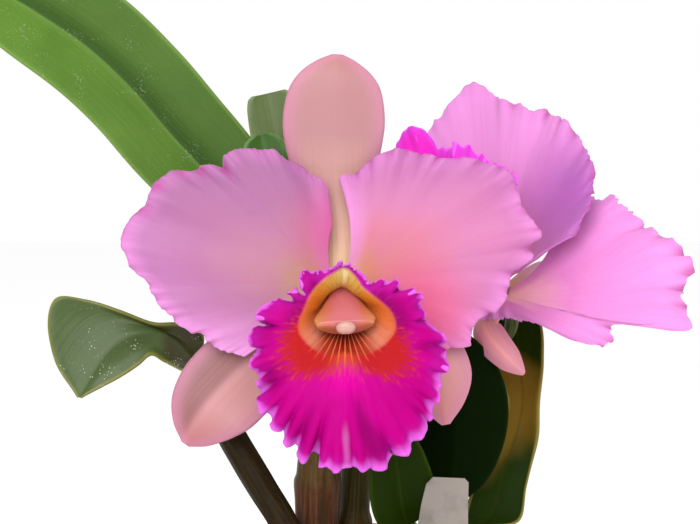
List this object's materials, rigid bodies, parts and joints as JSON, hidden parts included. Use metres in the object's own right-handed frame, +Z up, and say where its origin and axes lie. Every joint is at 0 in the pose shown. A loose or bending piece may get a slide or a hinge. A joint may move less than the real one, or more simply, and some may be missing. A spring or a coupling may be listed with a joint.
{
  "type": "potted cattleya orchid",
  "caption": "Potted orchid with strap leaves on swollen stems and wide pink blooms, each with a frilled magenta lip round a pale column.",
  "frame": {"origin": "middle of the pot's underside, where it rests", "axes": "+Z up, -Y towards the viewer that the front bloom faces, +X to the viewer's right"},
  "size_m": [0.2884, 0.1545, 0.3485],
  "materials": {
    "terracotta": "matt unglazed clay",
    "fir_bark": "rough bark chips",
    "label_plastic": "satin off-white",
    "leaf_green": "leathery leaf with a waxy sheen",
    "stem_olive": "dry sheathed stem",
    "sheath_green": "papery",
    "stalk_green": "smooth green stalk",
    "petal_pink": "velvety petal with fine veins",
    "sepal_salmon": "smooth sepal with a soft sheen",
    "lip_magenta": "velvety lip with a frilled margin",
    "column_cream": "waxy",
    "cap_cream": "waxy"
  },
  "bodies": {
    "root": {"pot": "terracotta", "potting_bark": "fir_bark", "plant_label": "label_plastic", "rhizome": "stem_olive", "pseudobulb_left": "stem_olive", "pseudobulb_sheathed": "stem_olive", "pseudobulb_olive": "stem_olive", "pseudobulb_back": "stem_olive", "pseudobulb_right": "stem_olive", "pseudobulb_new": "stem_olive", "leaf_large": "leaf_green", "leaf_left_small": "leaf_green", "leaf_back_upright": "leaf_green", "leaf_back_rounded": "leaf_green", "leaf_dark_right": "leaf_green", "leaf_twisted_right": "leaf_green", "leaf_new_growth": "leaf_green", "floral_sheath": "sheath_green", "front_pedicel": "stalk_green", "front_sepal_dorsal": "sepal_salmon", "front_sepal_left": "sepal_salmon", "front_sepal_right": "sepal_salmon", "front_petal_left": "petal_pink", "front_petal_right": "petal_pink", "front_lip": "lip_magenta", "front_column": "column_cream", "front_anther_cap": "cap_cream", "back_pedicel": "stalk_green", "back_sepal_dorsal": "sepal_salmon", "back_sepal_left": "sepal_salmon", "back_sepal_right": "sepal_salmon", "back_petal_left": "petal_pink", "back_petal_right": "petal_pink", "back_lip": "lip_magenta", "back_column": "column_cream", "back_anther_cap": "cap_cream"}
  },
  "joints": []
}
